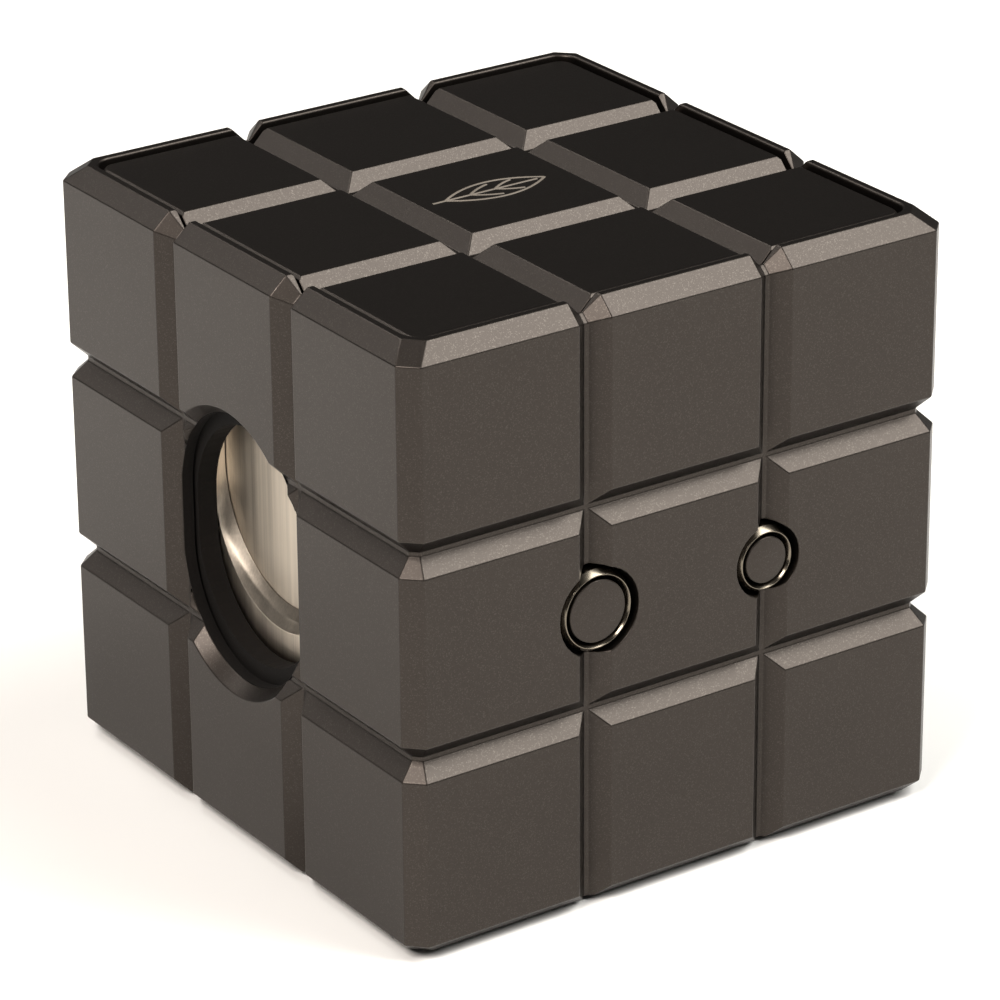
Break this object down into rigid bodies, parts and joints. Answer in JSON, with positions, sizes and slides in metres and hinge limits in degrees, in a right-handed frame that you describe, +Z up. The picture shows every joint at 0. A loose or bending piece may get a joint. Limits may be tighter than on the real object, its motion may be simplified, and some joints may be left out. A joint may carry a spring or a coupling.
{
  "type": "desktop cigar cutter",
  "caption": "Grooved cube with a press plate that drives a guillotine blade and a V-blade behind openings in its sides, and spring-ejector punch tubes in a third side.",
  "frame": {"origin": "centre of the foot pad's underside, on the surface that the cube stands on", "axes": "+Z up, the way the press plate rises; -X out of the guillotine mouth; -Y out of the punches"},
  "size_m": [0.075, 0.075, 0.0747],
  "materials": {
    "graphite_paint": "metallic satin",
    "black_plastic": "matte",
    "rubber": "matte",
    "dark_steel": "dark satin",
    "blade_steel": "brushed",
    "polished_steel": "polished",
    "spring_steel": "bright wire",
    "brass": "turned"
  },
  "bodies": {
    "frame": {"casing": "graphite_paint", "base_plate": "black_plastic", "foot_pad": "rubber", "base_screw_1": "dark_steel", "base_screw_2": "dark_steel", "base_screw_3": "dark_steel", "base_screw_4": "dark_steel", "chassis_floor": "black_plastic", "chassis_roof": "black_plastic", "chassis_punch_wall": "black_plastic", "chassis_back_wall": "black_plastic", "cutter_liner": "black_plastic", "fixed_blade": "blade_steel", "blade_spacer_left": "brass", "blade_spacer_right": "brass", "blade_screw_1": "dark_steel", "blade_screw_2": "dark_steel", "blade_screw_3": "dark_steel", "blade_screw_4": "dark_steel", "v_cup": "black_plastic", "punch_socket_large": "black_plastic", "punch_tube_large": "polished_steel", "ejector_spring_large": "spring_steel", "punch_socket_small": "black_plastic", "punch_tube_small": "polished_steel", "ejector_spring_small": "spring_steel", "latch_housing": "black_plastic", "guide_bush_1": "brass", "guide_bush_2": "brass", "guide_bush_3": "brass", "guide_bush_4": "brass", "return_spring_1": "spring_steel", "return_spring_2": "spring_steel", "return_spring_3": "spring_steel", "return_spring_4": "spring_steel"},
    "press": {"press_plate": "graphite_paint", "guide_post_1": "polished_steel", "guide_post_2": "polished_steel", "guide_post_3": "polished_steel", "guide_post_4": "polished_steel", "stop_ring_1": "spring_steel", "stop_ring_2": "spring_steel", "stop_ring_3": "spring_steel", "stop_ring_4": "spring_steel", "moving_blade": "blade_steel", "blade_carrier": "black_plastic", "carrier_screw_1": "dark_steel", "carrier_screw_2": "dark_steel", "v_blade": "blade_steel", "v_carrier": "black_plastic", "latch_tongue": "dark_steel"},
    "large_ejector": {"ejector_large": "dark_steel", "ejector_ring_large": "spring_steel"},
    "small_ejector": {"ejector_small": "dark_steel", "ejector_ring_small": "spring_steel"}
  },
  "joints": [
    {"name": "press_slide", "type": "slide", "parent": "frame", "child": "press", "axis": [0, 0, 1], "range_m": [0, 0.026], "deforming": ["return_spring_1", "return_spring_2", "return_spring_3", "return_spring_4"]},
    {"name": "large_ejector_slide", "type": "slide", "parent": "frame", "child": "large_ejector", "axis": [0, 1, 0], "range_m": [0, 0.005], "stiffness_N_per_m": 250, "springref_m": -0.004, "deforming": ["ejector_spring_large"]},
    {"name": "small_ejector_slide", "type": "slide", "parent": "frame", "child": "small_ejector", "axis": [0, 1, 0], "range_m": [0, 0.005], "stiffness_N_per_m": 200, "springref_m": -0.004, "deforming": ["ejector_spring_small"]}
  ]
}
